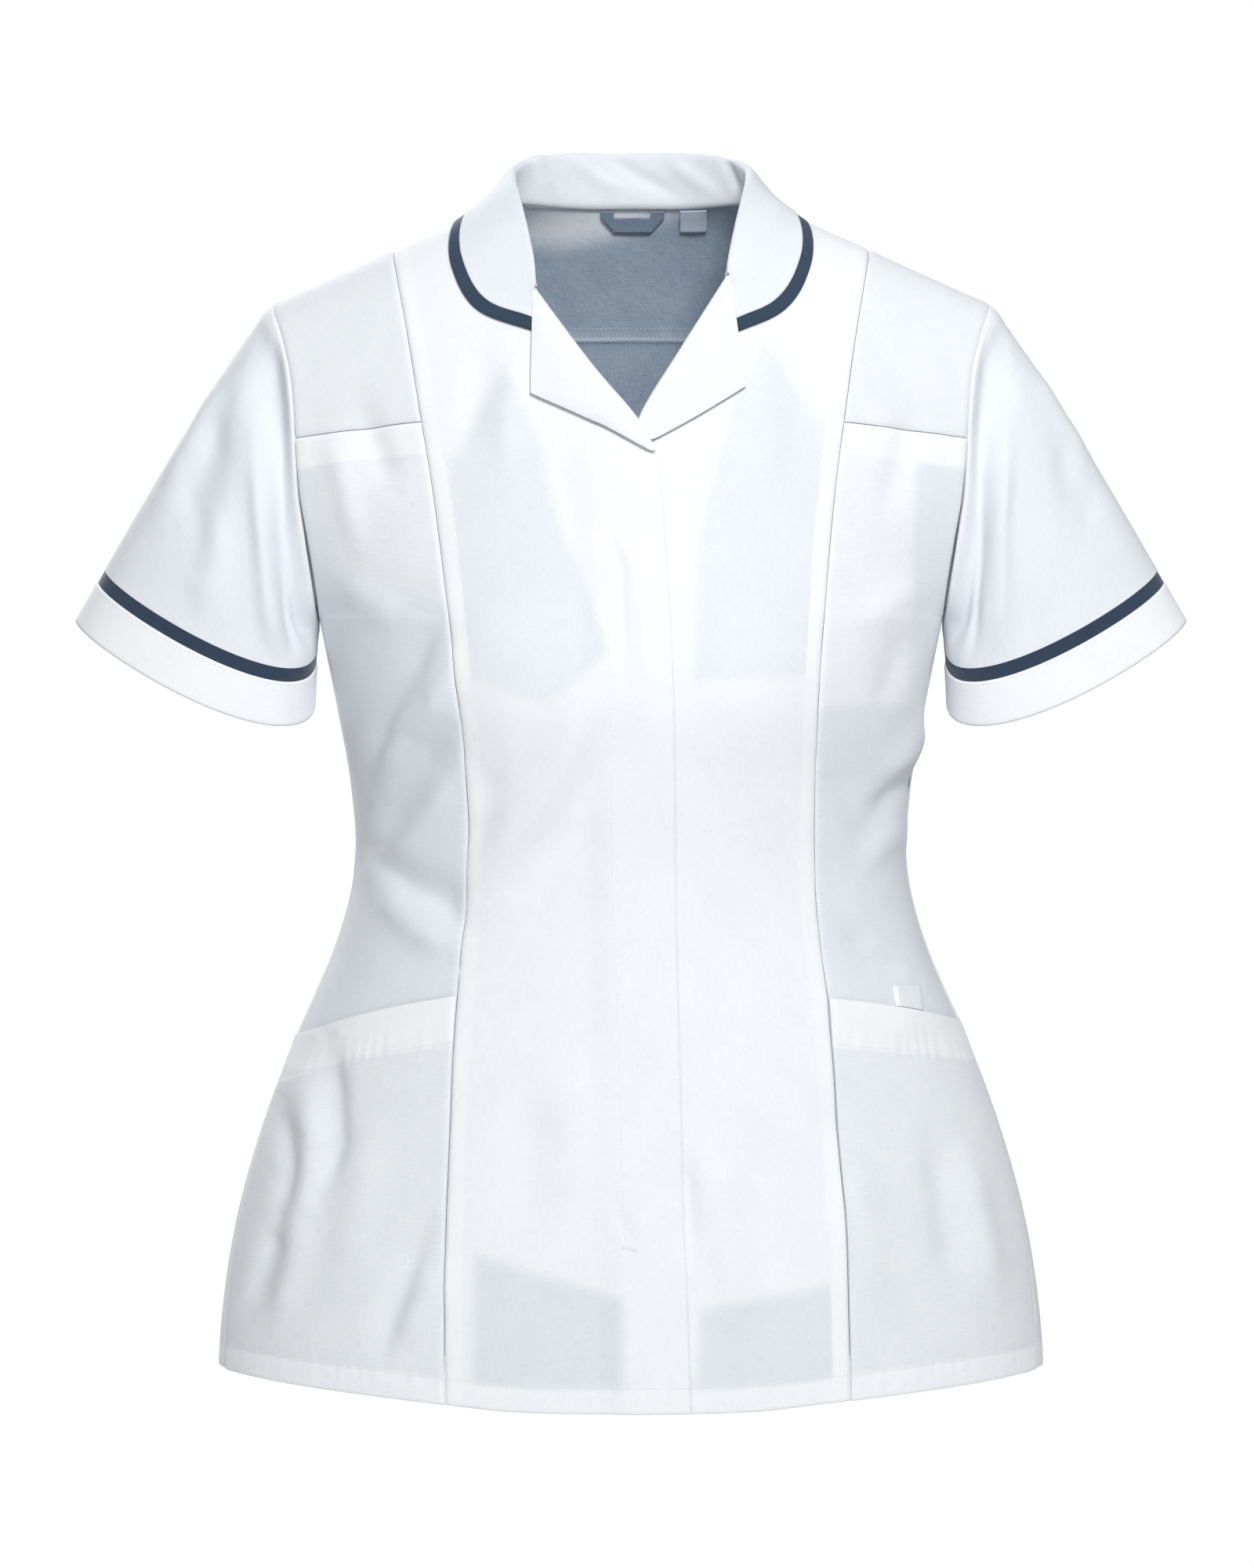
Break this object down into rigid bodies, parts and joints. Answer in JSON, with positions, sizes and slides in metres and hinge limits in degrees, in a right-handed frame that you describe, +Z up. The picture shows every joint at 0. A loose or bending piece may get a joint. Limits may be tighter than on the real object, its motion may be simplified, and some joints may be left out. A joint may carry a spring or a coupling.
{
  "type": "work tunic",
  "caption": "Short-sleeved fly-front work tunic with collar, lapels, contrast piping and lower pockets, filled out as if worn.",
  "frame": {"origin": "midway between the two points where the shoulder seams meet the neckline", "axes": "+Z up, the wearer looks along -Y, +X is the wearer's left"},
  "size_m": [0.666, 0.2525, 0.7484],
  "materials": {
    "white_cloth": "white plain-weave poly-cotton, matt, slightly see-through in one layer",
    "navy_cloth": "navy plain-weave flat piping, matt",
    "grey_label": "grey-blue woven tape"
  },
  "bodies": {
    "root": {"front_right": "white_cloth", "front_left": "white_cloth", "upper_side_front_right": "white_cloth", "upper_side_front_left": "white_cloth", "side_front_right": "white_cloth", "side_front_left": "white_cloth", "lower_pocket_right": "white_cloth", "lower_pocket_left": "white_cloth", "pen_pocket": "white_cloth", "front_zip": "white_cloth", "lapel_right": "white_cloth", "lapel_left": "white_cloth", "back_yoke": "white_cloth", "back_body": "white_cloth", "side_back_right": "white_cloth", "side_back_left": "white_cloth", "sleeve_right": "white_cloth", "sleeve_left": "white_cloth", "sleeve_trim_right": "navy_cloth", "sleeve_trim_left": "navy_cloth", "cuff_right": "white_cloth", "cuff_left": "white_cloth", "collar": "white_cloth", "collar_trim": "navy_cloth", "neck_label": "grey_label", "size_tag": "grey_label"}
  },
  "joints": []
}
